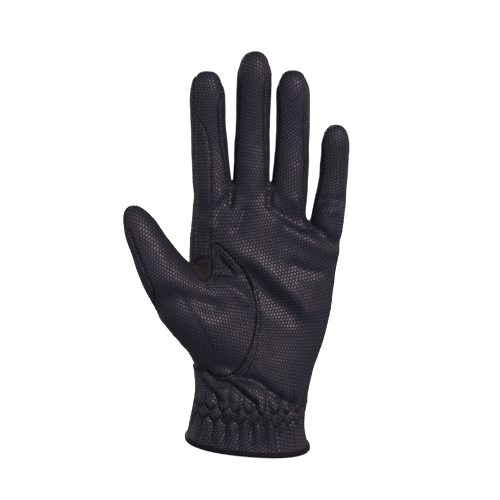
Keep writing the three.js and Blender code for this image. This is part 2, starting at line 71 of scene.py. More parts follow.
FINGER_SIZES = ("root", "tip", "bow", "crotch", "length", "width", "root_width", "depth")
FINGERS = [dict(zip(FINGER_SIZES, row)) for row in (
    (-0.226, -0.262, 0.0, 0.98, 69.0, 20.8, 23.0, 16.8),  # index
    (0.026, 0.052, -0.5, 0.99, 78.5, 20.2, 21.6, 17.2),  # middle
    (0.280, 0.298, 0.7, 0.98, 69.5, 19.8, 21.2, 16.6),  # ring
    (0.520, 0.578, 0.3, 0.835, 60.0, 16.4, 20.0, 14.6),  # little
)]


def smooth(t):
    t = np.clip(t, 0, 1)
    return t * t * (3 - 2 * t)


def mix(a, b, t):
    return a + (b - a) * t


def bell(away, width, power=2):
    """A bump of height 1 at a place: 1 at no distance from it, and nearly 0 past its width."""
    return np.exp(-((away / width) ** power))


def blurred_table(columns, rows, blur):
    """A reader of a table by its first column, with its corners rounded over the blur's width."""
    data = dict(zip(columns, np.array(rows, float).T))
    key = data[columns[0]]
    fine = np.linspace(key.min(), key.max(), 600)
    reach = np.arange(-60, 61) * (fine[1] - fine[0])
    share = bell(reach, blur)
    kept = {}
    for name in columns[1:]:
        line = np.interp(fine, key, data[name])
        padded = np.concatenate([2 * line[0] - line[60:0:-1], line, 2 * line[-1] - line[-2:-62:-1]])
        kept[name] = np.convolve(padded, share / share.sum(), "valid")
    return lambda name, at: np.interp(at, fine, kept[name])


body_at = blurred_table(("height", "palm", "left", "right", "depth"), [
    (0.0, 0, 1.11, 1.12, 1.09), (0.03, 0, 1.07, 1.08, 1.06), (0.07, 0, 1.03, 1.04, 1.03),
    (0.1, 0, 0.995, 1.03, 1.0), (0.14, 0, 0.97, 1.045, 0.99), (0.18, 0, 0.945, 1.08, 0.99),
    (0.22, 0.05, 0.925, 1.105, 1.0), (0.26, 0.17, 0.905, 1.1, 1.0), (0.305, 0.32, 0.88, 1.1, 1.01),
    (0.355, 0.53, 0.85, 1.1, 1.03), (0.415, 0.75, 0.81, 1.105, 1.05), (0.475, 0.92, 0.787, 1.112, 1.09),
    (0.53, 1, 0.775, 1.13, 1.13), (0.575, 1, 0.775, 1.143, 1.105), (0.615, 1, 0.775, 1.158, 1.085),
    (0.655, 1, 0.773, 1.175, 1.07), (0.7, 1, 0.77, 1.2, 1.05), (0.745, 1, 0.766, 1.225, 1.02),
    (0.79, 1, 0.758, 1.235, 0.98), (0.82, 1, 0.75, 1.17, 0.945), (0.855, 1, 0.74, 0.8, 0.9),
    (0.92, 1, 0.72, 0.77, 0.79), (0.965, 1, 0.7, 0.745, 0.69), (1.005, 1, 0.62, 0.67, 0.4),
], 0.012)
thumb_at = blurred_table(("height", "side", "width", "depth", "forward"), [
    (0.313, 0.29, 0.8, 0.8, 0.27), (0.38, 0.315, 1.16, 1.15, 0.28), (0.442, 0.339, 1.43, 1.44, 0.29),
    (0.521, 0.418, 1.67, 1.62, 0.3), (0.596, 0.523, 1.79, 1.67, 0.32), (0.662, 0.611, 1.67, 1.59, 0.35),
    (0.714, 0.703, 1.51, 1.45, 0.38), (0.783, 0.786, 1.3, 1.27, 0.42), (0.842, 0.855, 1.12, 1.1, 0.45),
    (0.873, 0.892, 1.05, 1.04, 0.47), (0.904, 0.927, 0.99, 0.97, 0.48), (0.934, 0.959, 0.91, 0.91, 0.49),
    (0.963, 0.985, 0.84, 0.84, 0.5), (1.0, 1.015, 0.76, 0.78, 0.5),
], 0.02)


def body_size(z):
    """Half sizes of the hand's body at a height: left, right and depth."""
    share = np.clip(z, 0, None) / PALM_HEIGHT
    palm = body_at("palm", share)
    half_width = mix(WRIST_WIDTH, PALM_WIDTH, palm) / 2
    half_depth = mix(WRIST_DEPTH, PALM_DEPTH, palm) / 2
    left, right = (body_at(side, share) * half_width for side in ("left", "right"))
    return left, right, body_at("depth", share) * half_depth


print(f"{GATHERS} gathers round the wrist, {len(FINGERS)} fingers and a thumb")

# %% [markdown]
# Each part of the hand is a tube: rings of points that follow a centre line. A squircle, a circle
# squared off a little, is the section of a finger in a glove. The tip of a digit is rounded off by
# a superellipse. The tubes run into each other at the roots, where the next step joins them.

# %% Tubes for the body, the fingers and the thumb
def squircle(sides, power=2 / SQUARENESS):
    angle = np.linspace(0, 2 * np.pi, sides, endpoint=False)
    return [np.sign(wave) * np.abs(wave) ** power for wave in (np.cos(angle), np.sin(angle))]


def outline_at(z, sides, inset=0.0):
    """The body's outline at a height, and the middle of its width."""
    left, right, depth = (float(size) - inset for size in body_size(z))
    across, deep = squircle(sides)
    middle = (right - left) / 2
    return np.stack([middle + across * (right + left) / 2, deep * depth], 1), middle


def run_along(line):
    """The length of a line up to each of its points."""
    return np.concatenate([[0], np.cumsum(np.linalg.norm(np.diff(line, axis=0), axis=1))])


def ring_faces(count, sides):
    """Rows of faces between rings of points, the last row from the last ring to the first."""
    here = np.arange(count * sides).reshape(count, sides)
    there = np.roll(here, -1, 0)
    return np.stack([here, np.roll(here, -1, 1), np.roll(there, -1, 1), there], 2)


def tube(rings):
    """Points and faces of a closed skin over rings of points."""
    count, sides = rings.shape[:2]
    faces = ring_faces(count, sides)[:-1].reshape(-1, 4).tolist()
    faces.append(tuple(range(sides - 1, -1, -1)))
    faces.append(tuple(range((count - 1) * sides, count * sides)))
    return rings.reshape(-1, 3), faces


def body_tube():
    top = 1.005 * PALM_HEIGHT - THIN
    return tube(np.array([
        np.insert(outline_at(z, 120, THIN)[0], 2, z, 1) for z in np.append(np.arange(-9, top, RING_STEP), top)
    ]))


def digit_tube(centre, half_width, half_depth):
    """A digit round a centre line that runs from its tip, given as close points."""
    run = run_along(centre)
    half = half_width(2 * half_width(0.0)) - THIN
    stops = np.concatenate([half * TIP_STOPS, np.arange(2.15 * half, run[-1], RING_STEP)])
    across, deep = squircle(56)
    rings = []
    for at in stops:
        tip = (1 - (1 - min(1, at / (2 * half))) ** 2.5) ** 0.4
        at += THIN
        place, ahead, behind = (np.array([np.interp(stop, run, centre[:, k]) for k in range(3)])
                                for stop in (at, at + 1, max(0, at - 1)))
        along = (behind - ahead) / np.linalg.norm(behind - ahead)
        side = np.cross((0, 1, 0), along)
        side /= np.linalg.norm(side)
        front = np.cross(along, side)
        wide, thick = (half_width(at) - THIN) * tip, (half_depth(at) - THIN) * tip
        rings.append(place + np.outer(across * wide, side) + np.outer(deep * thick, front))
    return tube(np.array(rings)[::-1])


def finger_centre(finger, t):
    """Points on a finger's centre line: t is 0 at its root and 1 at its tip."""
    x = mix(finger["root"], finger["tip"], 1 - (1 - t) ** 2) * PALM_WIDTH
    x = x + finger["bow"] * np.sin(np.pi * np.clip(t, 0, 1))
    z = finger["crotch"] * PALM_HEIGHT + finger["length"] * t
    return np.stack([x, -CURL * np.clip(t, 0, None) ** 2, z], -1)


def finger_tube(finger):
    length = finger["length"]
    root_share = lambda at: smooth((at / length - 0.45) / 0.6) - smooth((at / length - 1.02) / 0.3)
    return digit_tube(
        finger_centre(finger, np.linspace(1, -0.3, 200)),
        lambda at: mix(finger["width"], finger["root_width"], root_share(at)) / 2,
        lambda at: mix(finger["depth"], PALM_DEPTH * 0.76, root_share(at)) / 2,
    )


def thumb_tube():
    height = np.linspace(1, 0.313, 220)
    side, forward = thumb_at("side", height), thumb_at("forward", height)
    centre = np.stack([-side * THUMB_REACH, -forward * PALM_DEPTH, height * THUMB_RISE], 1)
    run = run_along(centre)
    level = lambda at: np.interp(at, run, height)
    return digit_tube(centre, lambda at: thumb_at("width", level(at)) * THUMB_WIDTH / 2,
                      lambda at: thumb_at("depth", level(at)) * THUMB_DEPTH / 2)


tubes = [body_tube(), *[finger_tube(finger) for finger in FINGERS], thumb_tube()]
print(len(tubes), "tubes,", sum(len(points) for points, _ in tubes), "points")

# %% [markdown]
# A voxel remesh turns the crossing tubes into one skin of even small squares, which is what soft
# folds need. The tubes are made a little thin and the skin is let out again afterwards, so that the
# gaps between the fingers stay open. It leaves hard corners where the tubes met. Real leather spans
# such a corner: it is stretched from the ball of the thumb to the palm, and it makes a round web at
# the roots, where the skin is relaxed, more the nearer a point lies to a second tube.

# %% One skin
def mesh_of(name, points, faces):
    mesh = bpy.data.meshes.new(name)
    mesh.from_pydata(np.asarray(points, float).tolist(), [], faces)
    mesh.update()
    return mesh


def placed(name, data):
    """A new object in the scene."""
    obj = bpy.data.objects.new(name, data)
    stage.collection.objects.link(obj)
    return obj


def smoothed(mesh):
    mesh.polygons.foreach_set("use_smooth", np.ones(len(mesh.polygons), bool))


def baked(obj):
    """The mesh that an object's modifiers make. The object itself goes."""
    mesh = bpy.data.meshes.new_from_object(obj.evaluated_get(bpy.context.evaluated_depsgraph_get()))
    bpy.data.objects.remove(obj)
    return mesh


def remeshed(parts, size):
    points = np.concatenate([p for p, _ in parts])
    starts = np.cumsum([0] + [len(p) for p, _ in parts])
    faces = [tuple(i + start for i in face) for (_, part), start in zip(parts, starts) for face in part]
    obj = placed("skin_draft", mesh_of("skin_draft", points, faces))
    modifier = obj.modifiers.new("remesh", "REMESH")
    modifier.mode = "VOXEL"
    modifier.voxel_size = size
    return baked(obj)


def read(rows, key, width, kind=float):
    """One of the values of a mesh's points, edges or corners, as an array."""
    values = np.zeros(len(rows) * width, kind)
    rows.foreach_get(key, values)
    return values.reshape(-1, width)


def relaxed(points, edges, rounds, weight=1.0):
    """Points moved half way to the middle of their neighbours, or less far by a weight for each."""
    share = np.reshape(weight, (-1, 1)) / 2
    count = np.bincount(edges.ravel(), minlength=len(points))
    for _ in range(rounds):
        total = np.stack([
            np.bincount(edges[:, 0], points[edges[:, 1], k], len(points))
            + np.bincount(edges[:, 1], points[edges[:, 0], k], len(points))
            for k in range(3)
        ], 1)
        points = points + share * (total / count[:, None] - points)
    return points


def spanned(points):
    """The skin pulled straight over the hollow between the ball of the thumb and the palm."""
    x, y, z = points.T
    rise = z / THUMB_RISE
    ball_x = -thumb_at("side", rise) * THUMB_REACH + 3
    ball_y = -thumb_at("forward", rise) * PALM_DEPTH - thumb_at("depth", rise) * THUMB_DEPTH / 2
    palm_x, palm_y = 6.0, -body_size(z)[2]
    t = np.clip((x - ball_x) / (palm_x - ball_x), 0, 1)
    span = mix(ball_y, palm_y, t) - 0.8 * np.sin(np.pi * t)
    share = smooth((z - 42) / 12) * (1 - smooth((z - 88) / 16)) * (t > 0) * (t < 1) * (y < -6)
    return np.stack([x, np.minimum(y, mix(y, span, share)), z], 1)


skin = remeshed(tubes, VOXEL)
skin_points = spanned(read(skin.vertices, "co", 3))
skin_edges = read(skin.edges, "vertices", 2, int)
trees = [BVHTree.FromPolygons(points.tolist(), faces) for points, faces in tubes]
second_tube = np.array([
    sorted((tree.find_nearest(point, 9.0)[3] or 9.0) for tree in trees)[1] for point in skin_points.tolist()
])
web = 1 - smooth(second_tube / 6)
by_thumb = smooth((-6 - skin_points[:, 0]) / 8) * (1 - smooth((skin_points[:, 2] - 120) / 10))
web *= mix(0.2, 1.0, by_thumb) * (skin_points[:, 2] < PALM_HEIGHT + 2)
skin_points = relaxed(skin_points, skin_edges, 5)
skin_points = relaxed(skin_points, skin_edges, 40, web)
skin.vertices.foreach_set("co", skin_points.ravel())
skin.update()
outward = read(skin.vertices, "normal", 3)
skin_points = relaxed(skin_points + outward * THIN, skin_edges, 2)
skin.vertices.foreach_set("co", skin_points.ravel())
print(len(skin_points), "points in the skin")

# %% [markdown]
# The seams are described as fields: functions of a place that are zero on the seam. The side seam
# is a depth for every place seen from the front. The palm's seams are closed outlines, drawn as an
# eye a little above the glove sees them. The strips between the fingers follow their centre lines.

# %% Seams as fields
EYE = 0.12
SEAM_SHIFT = dict(little=-0.3, index=0.55, thumb_outer=-0.8, thumb_inner=0.25)


def seen(points):
    """Where the eye sees places of the palm side: across and up."""
    return points[:, 0], points[:, 2] + EYE * points[:, 1]


def thumb_middle(x, z):
    rise = z / THUMB_RISE
    centre = -thumb_at("side", rise) * THUMB_REACH
    half = thumb_at("width", rise) * THUMB_WIDTH / 2
    deep = thumb_at("depth", rise) * THUMB_DEPTH / 2
    across = np.clip((x - centre) / half, -1, 1)
    outer = SEAM_SHIFT["thumb_outer"] * smooth((rise - 0.52) / 0.16) * (1 - 0.5 * smooth((rise - 0.88) / 0.1))
    shift = mix(outer, SEAM_SHIFT["thumb_inner"], smooth((across + 0.6) / 1.4))
    share = smooth((rise - 0.42) / 0.12) * (1 - smooth((x + 0.36 * PALM_WIDTH) / (0.05 * PALM_WIDTH)))
    return -thumb_at("forward", rise) * PALM_DEPTH + deep * shift, share


def finger_middle(x, z):
    middle, ring, little = FINGERS[1:]
    on_little = x > (ring["tip"] + little["root"]) / 2 * PALM_WIDTH
    pick = lambda key: np.where(on_little, little[key], middle[key])
    t = np.clip((z - pick("crotch") * PALM_HEIGHT) / pick("length"), 0, 1.2)
    return -CURL * t**2


def side_seam(x, z):
    index, middle, _, little = FINGERS
    left, right, depth = body_size(np.clip(z, 0, 0.78 * PALM_HEIGHT))
    over = smooth((z / PALM_HEIGHT - 0.75) / 0.3)
    depth = mix(depth, middle["depth"] / 2, over)
    left = mix(left, -index["tip"] * PALM_WIDTH + index["width"] / 2, over)
    right = mix(right, little["tip"] * PALM_WIDTH + little["width"] / 2, over)
    on_index = smooth((-x - left) / (index["width"] / 2) + 1)
    on_little = smooth((x - right) / (little["width"] / 2) + 1)
    hand = finger_middle(x, z) + depth * (SEAM_SHIFT["index"] * on_index + SEAM_SHIFT["little"] * on_little)
    thumb, share = thumb_middle(x, z)
    return mix(hand, thumb, share)


def spots(shares):
    """Places on the palm side in millimetres, from shares of the palm's width and height."""
    return np.array(shares, float) * (PALM_WIDTH, PALM_HEIGHT)


def rounded(points, steps):
    """A smooth curve through points, the way a pattern cutter joins marks."""
    p = np.concatenate([[2 * points[0] - points[1]], points, [2 * points[-1] - points[-2]]])
    t = np.linspace(0, 1, steps, endpoint=False)[:, None]
    made = [
        0.5 * ((2 * b) + (c - a) * t + (2 * a - 5 * b + 4 * c - d) * t**2 + (3 * b - a - 3 * c + d) * t**3)
        for a, b, c, d in zip(p, p[1:], p[2:], p[3:])
    ]
    return np.concatenate([*made, points[-1:]])


thumb_seam = rounded(spots([(-0.217, 0.777), (-0.158, 0.757), (-0.092, 0.716), (-0.026, 0.668), (0.022, 0.628),
                            (0.053, 0.578), (0.066, 0.522), (0.06, 0.47), (0.042, 0.41), (0.006, 0.354),
                            (-0.06, 0.288), (-0.15, 0.262), (-0.25, 0.268), (-0.33, 0.3), (-0.46, 0.34)]), 6)
index_seam = rounded(spots([(-0.46, 1.26), (-0.37, 1.255), (-0.303, 1.232), (-0.27, 1.198), (-0.25, 1.149),
                            (-0.237, 1.095), (-0.237, 0.943), (-0.244, 0.828)]), 8)
quirk_curve = rounded(spots([(-0.372, 0.7), (-0.335, 0.664), (-0.29, 0.633), (-0.26, 0.637), (-0.238, 0.655)]), 6)
quirk_top, quirk_right = spots([(-0.25, 0.722), (-0.238, 0.72)])
seam_top, thumb_crotch = spots([(-0.238, 0.757), (-0.4, 0.745)])
outside = -1.2 * PALM_WIDTH
cleft = np.array([thumb_crotch, *spots([(-0.44, 0.82), (-0.5, 1.3)])])
thumb_area = np.array([*cleft, (outside, cleft[2][1]), (outside, thumb_seam[-1][1]), *thumb_seam[::-1],
                       seam_top, *quirk_curve[::-1]])
index_area = np.array([thumb_crotch, quirk_curve[0], quirk_top, *index_seam[::-1], *cleft[:0:-1]])
quirk_area = np.array([*quirk_curve, quirk_right, quirk_top])


def line_distance(x, z, line):
    p = np.stack([x, z], 1)
    best = np.full(len(p), 1e9)
    for a, b in zip(line[:-1], line[1:]):
        along = b - a
        t = np.clip(((p - a) @ along) / max(along @ along, 1e-9), 0, 1)
        best = np.minimum(best, np.linalg.norm(p - a - t[:, None] * along, axis=1))
    return best


def signed_distance(x, z, outline):
    """Distance to a closed outline, negative inside it."""
    inside = np.zeros(len(x), bool)
    for a, b in zip(outline, np.roll(outline, -1, 0)):
        rise = (b - a)[1] or 1e-9
        inside ^= ((a[1] > z) != (b[1] > z)) & (x < a[0] + (z - a[1]) * (b - a)[0] / rise)
    away = line_distance(x, z, np.concatenate([outline, outline[:1]]))
    return np.where(inside, -away, away)


def strip_field(points, left, right):
    """Negative on the strip between two fingers, positive elsewhere."""
    x, y, z = points.T
    ends = []
    for finger, wide in ((left, 0.42), (right, 0.29)):
        t = (z - finger["crotch"] * PALM_HEIGHT) / finger["length"]
        centre = finger_centre(finger, np.clip(t, -0.3, 1))
        tip = finger["crotch"] * PALM_HEIGHT + finger["length"]
        taper = smooth(((tip - z) / finger["width"] - 0.15) / 0.9)
        ends.append((centre[:, 0], centre[:, 1], finger["depth"] * wide * taper))
    (lx, ly, lh), (rx, ry, rh) = ends
    base = min(left["crotch"], right["crotch"]) * PALM_HEIGHT
    join = smooth((z - base) / (0.08 * PALM_HEIGHT))
    own = x > (lx + rx) / 2
    middle, half = (mix((a + b) / 2, np.where(own, b, a), join) for a, b in ((ly, ry), (lh, rh)))
    field = np.maximum(np.abs(y - middle) - half, base - 0.07 * PALM_HEIGHT - z)
    return np.maximum(field, np.maximum(lx - x, x - rx) * 0.8)


FOURCHETTES = list(zip(FINGERS, FINGERS[1:]))
print("seam outlines of", len(thumb_area), len(index_area), "and", len(quirk_area), "points")

# %% [markdown]
# The skin is cut along each field. Every edge that crosses zero gets a point there, and the new
# points are joined across the faces, so that a seam is a clean line and not a staircase of squares.
# Then each face is told which panel it belongs to.

# %% Cut the skin along its seams
PALM, THUMB, INDEX_SIDE, QUIRK, BACK = range(5)
OUTLINES = ((thumb_area, THUMB), (index_area, INDEX_SIDE), (quirk_area, QUIRK))
ON_LINE = 0.13


def cut_along(bm, field, where=None):
    """Splits faces of bm along the zero line of field, in places where where holds."""
    points = np.array([v.co for v in bm.verts])
    value = field(points)
    value[np.abs(value) < ON_LINE] = 0
    allowed = np.ones(len(points), bool) if where is None else where(points)
    bm.verts.index_update()
    ends = np.array([(e.verts[0].index, e.verts[1].index) for e in bm.edges])
    a, b = ends.T
    step = value[a] - value[b]
    crossing = (value[a] * value[b] < 0) & allowed[a] & allowed[b] & (np.abs(step) < 4 * VOXEL)
    edges = list(bm.edges)
    shares = {edges[i]: float(value[a[i]] / step[i]) for i in np.nonzero(crossing)[0]}
    made = bmesh.ops.bisect_edges(bm, edges=list(shares), cuts=1, edge_percents=shares)
    new = [g for g in made["geom_split"] if isinstance(g, bmesh.types.BMVert)]
    verts = list(bm.verts)
    near = {verts[i] for i in np.nonzero((value == 0) & allowed)[0]}
    bmesh.ops.connect_verts(bm, verts=list(near | set(new)))
    bm.verts.index_update()
    return len(new)


def on_palm_side(points):
    return points[:, 1] < side_seam(points[:, 0], points[:, 2]) + 0.2


bm = bmesh.new()
bm.from_mesh(skin)
bpy.data.meshes.remove(skin)
bmesh.ops.bisect_plane(bm, geom=[*bm.verts, *bm.edges, *bm.faces], dist=0.05, plane_co=(0, 0, 0),
                       plane_no=(0, 0, 1), clear_inner=True)
cuts = cut_along(bm, lambda p: p[:, 1] - side_seam(p[:, 0], p[:, 2]))
for left, right in FOURCHETTES:
    cuts += cut_along(bm, lambda p: strip_field(p, left, right))
for outline, _ in OUTLINES:
    cuts += cut_along(bm, lambda p: signed_distance(*seen(p), outline), on_palm_side)
bmesh.ops.dissolve_degenerate(bm, dist=0.02, edges=bm.edges)
bm.normal_update()
bm.verts.index_update()
rest = np.array([v.co for v in bm.verts])
normals = np.array([v.normal for v in bm.verts])
faces = [tuple(v.index for v in f.verts) for f in bm.faces]
centres = np.array([f.calc_center_median() for f in bm.faces])
print(cuts, "points on the seams,", len(faces), "faces")

# %% Give each face its panel
PANELS = ["palm_panel", "thumb_panel", "index_side_panel", "quirk", "back_panel",
          "fourchette_index_middle", "fourchette_middle_ring", "fourchette_ring_little"]


def panel_of(points):
    x, y, z = points.T
    front = y < side_seam(x, z)
    label = np.where(front, PALM, BACK)
    for outline, panel in OUTLINES:
        label[front & (signed_distance(*seen(points), outline) < 0)] = panel
    for k, (left, right) in enumerate(FOURCHETTES):
        label[strip_field(points, left, right) < 0] = 5 + k
    return label


face_panel = panel_of(centres)
print({name: int((face_panel == k).sum()) for k, name in enumerate(PANELS)})

# %% [markdown]
# Folds and creases give worn leather its life. Each is a line on the palm side, drawn as the eye
# sees it, with a width and a depth. The leather sinks or rises beside it along a bell curve, and a
# lower power makes the bell crisper.

# %% Folds
FOLD_DEPTH = 1.5
FOLDS = [
    ("root of the little finger", [(37, 127.6), (43, 123.5), (48.7, 117.2)], 3.4, -1.6, 1.6),
    ("ridge below it", [(22, 126.4), (28.4, 123), (36.5, 118.3), (43, 115.4), (51, 112.5)], 4.5, 1.2, 2),
    ("root of the ring finger", [(28.4, 142), (33, 130.5)], 3.2, 0.9, 2),
    ("hollow of the palm", [(1, 98), (8.7, 90), (16.8, 83.3), (26, 76.5)], 6.0, -2.1, 2),
    ("ridge above it", [(-9.9, 115.4), (7, 104.4), (19.7, 93.4), (30.2, 83.5), (33.6, 77.7)], 5.2, 1.4, 2),
    ("heart line", [(26.7, 105), (36.5, 101), (41.8, 100.3)], 3.6, -1.1, 1.7),
    ("between index and middle", [(-1.7, 136), (-5.2, 126.4)], 3.6, -1.4, 1.8),
    ("crease of the thumb's base", [(-46, 86), (-31, 84.5), (-19, 81)], 6.0, -2.0, 2),
    ("ball of the thumb", [(-38, 73), (-24, 68), (-9, 58)], 12.0, 1.0, 2),
    ("ridge below the web", [(-22.6, 95.7), (-12.8, 93.4), (-5.8, 90), (0, 84)], 3.4, 0.9, 2),
    ("pocket between index and middle", [(-9.0, 147.0), (-9.7, 140.5)], 2.1, -1.7, 2),
    ("pocket between middle and ring", [(13.2, 147.0), (12.9, 139.5)], 2.0, -1.7, 2),
    ("hollow under the ring finger", [(15.5, 137), (24.9, 130.5), (31.9, 126.5)], 2.6, -1.0, 2),
    ("ridge at the index's root", [(-20.3, 127), (-19.4, 139), (-14.8, 146)], 2.4, 0.9, 2),
    ("bend of the little finger", [(43.5, 142.4), (57, 142.8)], 2.6, -0.8, 2),
    ("pad below that bend", [(44.5, 136), (51, 136.5)], 3.4, 0.8, 2),
    ("wrist crease A", [(-29.3, 42), (-27.8, 39), (-23.8, 34.2), (-14.5, 25)], 2.3, -2.6, 1.5),
    ("wrist ridge A", [(-27.8, 41.4), (-19.7, 32.4), (-13.9, 24.9), (-10.4, 20.2)], 2.6, 1.3, 2),
    ("wrist crease B", [(-27.5, 42.2), (-22.6, 41), (-18, 37.2), (-8.7, 34.8), (1.7, 27.3), (5.2, 24.9)],
     2.4, -2.1, 1.5),
    ("wrist ridge B", [(-5.5, 37), (1.2, 31.9), (5.2, 26.7), (8.7, 21.5)], 2.6, 1.4, 2),
    ("wrist crease C", [(-6.4, 39.4), (4.6, 38), (12.2, 33), (19.1, 28.6), (27, 24.6)], 2.7, -2.0, 1.6),
    ("small ridge over the wrist", [(-16.8, 43.5), (-11.6, 41.5)], 2.2, 1.0, 2),
]
WEB_RECESS, RECESS_DEPTH = np.array([(-15.8, 110.8), (-18.6, 98.8), (-4, 97.6)]), 2.2


def fold_rise(x, z):
    rise = np.zeros(len(x))
    for _, line, width, depth, power in FOLDS:
        away = line_distance(x, z, rounded(np.array(line, float), 5))
        rise += FOLD_DEPTH * depth * bell(away, width, power)
    return rise - RECESS_DEPTH * smooth(0.35 - signed_distance(x, z, WEB_RECESS) / 2.2)


x, y, z = rest.T
facing = smooth(np.clip(-normals[:, 1], 0, 1) * 1.6)
rise = fold_rise(*seen(rest)) * facing
print(f"folds move the leather from {rise.min():.1f} to {rise.max():.1f} mm")

# %% [markdown]
# The elastic at the wrist is sewn in with two rows of zigzag stitches. Each pinches the leather,
# which puffs up above, between and below the rows. The puffs are counted along the wrist's own
# outline, so that they are evenly wide all round.

# %% Gathers at the wrist
ROWS = dict(upper=(24.2, GATHERS, 0.6), lower=(17.6, GATHERS + 1, 2.3))  # height, count, place of a valley
ZIGZAG = 1.9
PINCH_DEPTH, PINCH_WIDTH = 0.85, 0.9
PUFF, PUFF_UP, PUFF_DOWN, PUFF_START = 3.0, 7.5, 11.0, 2.4
BULGE = 1.2


def turn_share(x, y):
    """How far round the wrist a place is, from 0 to 1, measured along the wrist's own outline."""
    ring, middle = outline_at(21.0, 720)
    share = run_along(np.concatenate([ring, ring[:1]]))
    share /= share[-1]
    angle = np.unwrap(np.arctan2(ring[:, 1], ring[:, 0] - middle))
    angle = np.append(angle, angle[0] + 2 * np.pi)
    here = np.mod(np.arctan2(y, x - middle) - angle[0], 2 * np.pi) + angle[0]
    return np.interp(here, angle, share)


def row_start(name):
    return turn_share(np.array([ROWS[name][2]]), np.array([-20.0]))[0]


def zigzag_height(name, share):
    """Height of a zigzag row, and the phase of its pleats, 0 in a valley of the row."""
    level, count, _ = ROWS[name]
    phase = np.mod((share - row_start(name)) * count, 1.0)
    return level - ZIGZAG * (4 * np.abs(phase - 0.5) - 1), phase


def waves(points, *sizes):
    """Smooth chance values between -1 and 1 at points, with a size for each axis."""
    return np.array([noise.noise(Vector(point)) for point in (points / sizes).tolist()])


def hem_lean(points, height):
    """How far the slope of the hem moves points up or down. It fades with their height."""
    return (points[:, 0] * HEM_LEAN_X + points[:, 1] * HEM_LEAN_Y) * (1 - smooth(height / LEAN_HEIGHT))


share = turn_share(x, y)
upper, upper_phase = zigzag_height("upper", share)
lower, lower_phase = zigzag_height("lower", share)
above, below = z - upper, lower - z
pinch = bell(above, PINCH_WIDTH) + bell(below, PINCH_WIDTH)
pleat_above = np.abs(np.cos(np.pi * upper_phase)) ** 1.3
pleat_below = np.abs(np.sin(np.pi * lower_phase)) ** 1.3
uneven = waves(rest, 9, 9, 14)
gather = -PINCH_DEPTH * pinch
for away, pleat, reach in ((above, pleat_above, PUFF_UP), (below, pleat_below, PUFF_DOWN)):
    gather += PUFF * (pleat - 0.45) * (1 + uneven) * smooth(away / PUFF_START) * bell(away, reach)
between = smooth(-above / 1.6) * smooth(-below / 1.6)
gather += BULGE * between * (0.35 + 0.65 * np.sin(2 * np.pi * (upper_phase - 0.25)))
gather *= (1 - 0.55 * normals[:, 0] ** 2) * mix(0.3, 1, smooth((z - 1) / 5))
print(f"gathers move the leather from {gather.min():.1f} to {gather.max():.1f} mm")

# %% [markdown]
# Two edges sewn together from inside turn under, which leaves a groove with rounded shoulders.
# The seam of the thumb is also stitched down, so a flat welt lies beside it. The distance to the
# nearest seam comes from a tree of points along all seams, and it also sets a painted shade: the
# leather's colour is darkened in each seam's crease and along the pinched zigzag rows, where shade
# would fall. The seams of the index finger's strip are pressed flat, so they are fainter. The
# thumb is turned a little, its outer edge forward, and drawn out at its tip.

# %% Grooves along the seams
GROOVE_DEPTH, GROOVE_WIDTH = 0.75, 0.85
SHOULDER, WELT, WELT_EDGE = 0.3, 0.4, 0.6
SEAM_REACH = 3.0
SLACK, SMALL_SLACK = 0.28, 0.16
THUMB_TURN, THUMB_DRAW = 0.16, 2.2


def seam_points(wanted):
    """Close points along the seams whose pair of panels is wanted."""
    return np.array([mix(a, b, t) for pair, (a, b) in seams if wanted(pair) for t in (0, 0.25, 0.5, 0.75, 1)])


def distance_to(points, marks):
    tree = KDTree(len(marks))
    for k, mark in enumerate(marks):
        tree.insert(mark, k)
    tree.balance()
    return np.array([tree.find(point)[2] for point in points.tolist()])


bm.faces.index_update()
seams = [({int(face_panel[f.index]) for f in edge.link_faces}, [np.array(v.co) for v in edge.verts])
         for edge in bm.edges if len(edge.link_faces) == 2]
seams = [(pair, ends) for pair, ends in seams if len(pair) == 2]
all_seams = seam_points(lambda pair: True)
welted = seam_points(lambda pair: pair == {PALM, THUMB})
faint = seam_points(lambda pair: INDEX_SIDE in pair and QUIRK not in pair)
strips = seam_points(lambda pair: max(pair) > BACK)
to_seam = distance_to(rest, all_seams)
to_welt = distance_to(rest, welted)
pressed = 1 - 0.65 * bell(distance_to(rest, faint), SEAM_REACH, 4)
flatter = 1 - 0.45 * bell(distance_to(rest, strips), SEAM_REACH, 4)
# Painted shade: crease sets how far the leather's colour is darkened in each seam's groove and along the pinched
# zigzag rows.
crease = 0.85 * pressed * bell(to_seam, 0.6) + 0.5 * smooth(pinch)
groove = -GROOVE_DEPTH * bell(to_seam, GROOVE_WIDTH, 1.7) + SHOULDER * bell(to_seam - 2.0, 0.9)
welt = WELT * bell(to_welt - 1.0, 0.7) - WELT_EDGE * bell(to_welt - 2.1, 0.6)
slack = SLACK * uneven + SMALL_SLACK * waves(rest, 4, 4, 6)
quiet = smooth(z / 12)
over_edge = np.clip(-0.832 * (x + 35) - 0.555 * (z - 113), 0, None)
turned = -THUMB_TURN * over_edge**2 / (over_edge + 4) * smooth((z - 78) / 24)
total = rise + gather + groove * np.minimum(pressed, flatter) + welt * facing + slack * quiet
leather = rest + normals * total[:, None]
leather[:, 1:] += np.stack([turned, -EYE * turned], 1)
leather[:, 2] += THUMB_DRAW * smooth((z - 108) / 30) * smooth((-37 - x) / 8)
leather[:, 2] += hem_lean(leather, z)
print(f"{len(all_seams)} marks along the seams, {len(welted)} of them along the thumb's")

# %% [markdown]
# Leather is cut flat, so its pattern is flat before the glove is sewn. Unwrapping each panel gives
# it back its flat cut: the map is scaled to real size and turned so that the rows of the pattern
# run across the hand, and across the thumb at its own slant.

# %% Panels with a flat pattern
THUMB_SLANT = np.radians(18)


